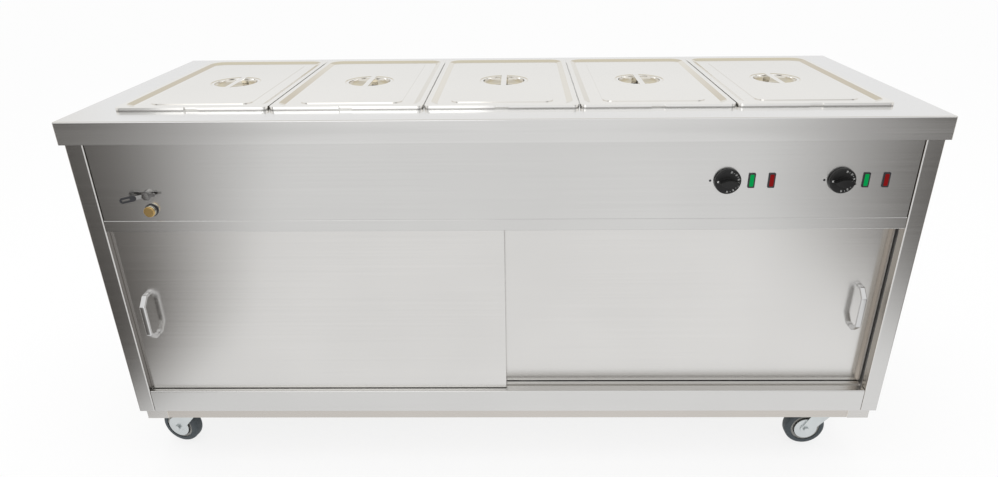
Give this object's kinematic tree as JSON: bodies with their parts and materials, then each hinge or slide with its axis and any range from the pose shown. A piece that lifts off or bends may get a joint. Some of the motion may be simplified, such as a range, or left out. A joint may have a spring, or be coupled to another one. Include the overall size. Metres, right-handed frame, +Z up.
{
  "type": "hot cupboard",
  "caption": "Mobile stainless hot cupboard: a bain marie well with lidded pans on top, sliding doors, dial thermostats, lamps, a well drain with a lever valve, and swivel castors.",
  "frame": {"origin": "on the floor, under the middle of the whole object", "axes": "+X to the right seen from the front, +Y to the back, +Z up"},
  "size_m": [1.8, 0.705, 0.8873],
  "materials": {
    "worktop_steel": "brushed along its length",
    "body_steel": "fine brushed",
    "door_steel": "fine brushed",
    "inner_steel": "mill",
    "pan_steel": "satin",
    "lid_steel": "bright satin",
    "frame_steel": "satin",
    "zinc": "zinc plated, satin",
    "hub_plastic": "satin",
    "tyre": "matt",
    "chrome": "polished",
    "fitting_metal": "satin",
    "brass": "satin",
    "black_plastic": "satin",
    "knob_plastic": "semi-gloss",
    "green_lens": "gloss",
    "red_lens": "gloss",
    "nylon": "natural",
    "element_sheath": "heat stained",
    "thermostat_metal": "satin"
  },
  "bodies": {
    "cabinet": {"worktop": "worktop_steel", "well_tank": "inner_steel", "pan_support_bars": "worktop_steel", "left_side": "body_steel", "right_side": "body_steel", "back_panel": "body_steel", "control_panel": "body_steel", "door_header": "body_steel", "door_sill": "body_steel", "top_track": "inner_steel", "inner_liner": "inner_steel", "cupboard_ceiling": "inner_steel", "cupboard_floor": "inner_steel", "shelves": "inner_steel", "shelf_brackets": "inner_steel", "base_frame": "frame_steel", "drain_pipe": "fitting_metal", "drain_valve": "fitting_metal", "drain_bush": "black_plastic", "thermostats": "thermostat_metal", "lamp_bezels": "black_plastic", "green_lenses": "green_lens", "red_lenses": "red_lens", "well_element": "element_sheath", "cupboard_element": "element_sheath", "cable_gland": "black_plastic", "castor_plates": "zinc"},
    "left_door_body": {"left_door": "door_steel", "left_handle": "chrome", "left_glides": "nylon"},
    "right_door_body": {"right_door": "door_steel", "right_handle": "chrome", "right_glides": "nylon"},
    "well_dial": {"well_knob": "knob_plastic"},
    "cupboard_dial": {"cupboard_knob": "knob_plastic"},
    "drain_lever": {"valve_lever": "chrome", "lever_sleeve": "black_plastic"},
    "cap": {"drain_cap": "brass"},
    "pan_body_1": {"pan_1": "pan_steel"},
    "lid_body_1": {"lid_1": "lid_steel"},
    "pan_body_2": {"pan_2": "pan_steel"},
    "lid_body_2": {"lid_2": "lid_steel"},
    "pan_body_3": {"pan_3": "pan_steel"},
    "lid_body_3": {"lid_3": "lid_steel"},
    "pan_body_4": {"pan_4": "pan_steel"},
    "lid_body_4": {"lid_4": "lid_steel"},
    "pan_body_5": {"pan_5": "pan_steel"},
    "lid_body_5": {"lid_5": "lid_steel"},
    "fork_front_left": {"castor_fork_front_left": "zinc"},
    "wheel_front_left": {"castor_hub_front_left": "hub_plastic", "castor_tyre_front_left": "tyre"},
    "fork_front_right": {"castor_fork_front_right": "zinc"},
    "wheel_front_right": {"castor_hub_front_right": "hub_plastic", "castor_tyre_front_right": "tyre"},
    "fork_rear_left": {"castor_fork_rear_left": "zinc"},
    "wheel_rear_left": {"castor_hub_rear_left": "hub_plastic", "castor_tyre_rear_left": "tyre"},
    "fork_rear_right": {"castor_fork_rear_right": "zinc"},
    "wheel_rear_right": {"castor_hub_rear_right": "hub_plastic", "castor_tyre_rear_right": "tyre"}
  },
  "joints": [
    {"name": "left_door_slide", "type": "slide", "parent": "cabinet", "child": "left_door_body", "axis": [1, 0, 0], "range_m": [0, 0.78]},
    {"name": "right_door_slide", "type": "slide", "parent": "cabinet", "child": "right_door_body", "axis": [1, 0, 0], "range_m": [-0.78, 0]},
    {"name": "well_dial_turn", "type": "hinge", "parent": "cabinet", "child": "well_dial", "pos_m": [0.465, -0.3265, 0.746], "axis": [0, 1, 0], "range_deg": [0, 265]},
    {"name": "cupboard_dial_turn", "type": "hinge", "parent": "cabinet", "child": "cupboard_dial", "pos_m": [0.699, -0.3265, 0.746], "axis": [0, 1, 0], "range_deg": [0, 265]},
    {"name": "drain_lever_turn", "type": "hinge", "parent": "cabinet", "child": "drain_lever", "pos_m": [-0.743, -0.3265, 0.722], "axis": [0, 1, 0], "range_deg": [0, 90]},
    {"name": "drain_cap_off", "type": "slide", "parent": "cabinet", "child": "cap", "axis": [0, -1, 0], "range_m": [0, 0.03]},
    {"name": "pan_lift_1", "type": "slide", "parent": "cabinet", "child": "pan_body_1", "axis": [0, 0, 1], "range_m": [0, 0.15]},
    {"name": "lid_lift_1", "type": "slide", "parent": "pan_body_1", "child": "lid_body_1", "axis": [0, 0, 1], "range_m": [0, 0.15]},
    {"name": "pan_lift_2", "type": "slide", "parent": "cabinet", "child": "pan_body_2", "axis": [0, 0, 1], "range_m": [0, 0.15]},
    {"name": "lid_lift_2", "type": "slide", "parent": "pan_body_2", "child": "lid_body_2", "axis": [0, 0, 1], "range_m": [0, 0.15]},
    {"name": "pan_lift_3", "type": "slide", "parent": "cabinet", "child": "pan_body_3", "axis": [0, 0, 1], "range_m": [0, 0.15]},
    {"name": "lid_lift_3", "type": "slide", "parent": "pan_body_3", "child": "lid_body_3", "axis": [0, 0, 1], "range_m": [0, 0.15]},
    {"name": "pan_lift_4", "type": "slide", "parent": "cabinet", "child": "pan_body_4", "axis": [0, 0, 1], "range_m": [0, 0.15]},
    {"name": "lid_lift_4", "type": "slide", "parent": "pan_body_4", "child": "lid_body_4", "axis": [0, 0, 1], "range_m": [0, 0.15]},
    {"name": "pan_lift_5", "type": "slide", "parent": "cabinet", "child": "pan_body_5", "axis": [0, 0, 1], "range_m": [0, 0.15]},
    {"name": "lid_lift_5", "type": "slide", "parent": "pan_body_5", "child": "lid_body_5", "axis": [0, 0, 1], "range_m": [0, 0.15]},
    {"name": "swivel_front_left", "type": "hinge", "parent": "cabinet", "child": "fork_front_left", "pos_m": [-0.8066, -0.2431, 0.1], "axis": [0, 0, 1], "continuous": true},
    {"name": "roll_front_left", "type": "hinge", "parent": "fork_front_left", "child": "wheel_front_left", "pos_m": [-0.84735, -0.23294, 0.05], "axis": [0.2419, 0.9703, 0], "continuous": true},
    {"name": "swivel_front_right", "type": "hinge", "parent": "cabinet", "child": "fork_front_right", "pos_m": [0.8066, -0.2431, 0.1], "axis": [0, 0, 1], "continuous": true},
    {"name": "roll_front_right", "type": "hinge", "parent": "fork_front_right", "child": "wheel_front_right", "pos_m": [0.7646, -0.2431, 0.05], "axis": [0, 1, 0], "continuous": true},
    {"name": "swivel_rear_left", "type": "hinge", "parent": "cabinet", "child": "fork_rear_left", "pos_m": [-0.8066, 0.2491, 0.1], "axis": [0, 0, 1], "continuous": true},
    {"name": "roll_rear_left", "type": "hinge", "parent": "fork_rear_left", "child": "wheel_rear_left", "pos_m": [-0.84819, 0.25494, 0.05], "axis": [0.1392, 0.9903, 0], "continuous": true},
    {"name": "swivel_rear_right", "type": "hinge", "parent": "cabinet", "child": "fork_rear_right", "pos_m": [0.8066, 0.2491, 0.1], "axis": [0, 0, 1], "continuous": true},
    {"name": "roll_rear_right", "type": "hinge", "parent": "fork_rear_right", "child": "wheel_rear_right", "pos_m": [0.7647, 0.24617, 0.05], "axis": [-0.0698, 0.9976, 0], "continuous": true}
  ]
}
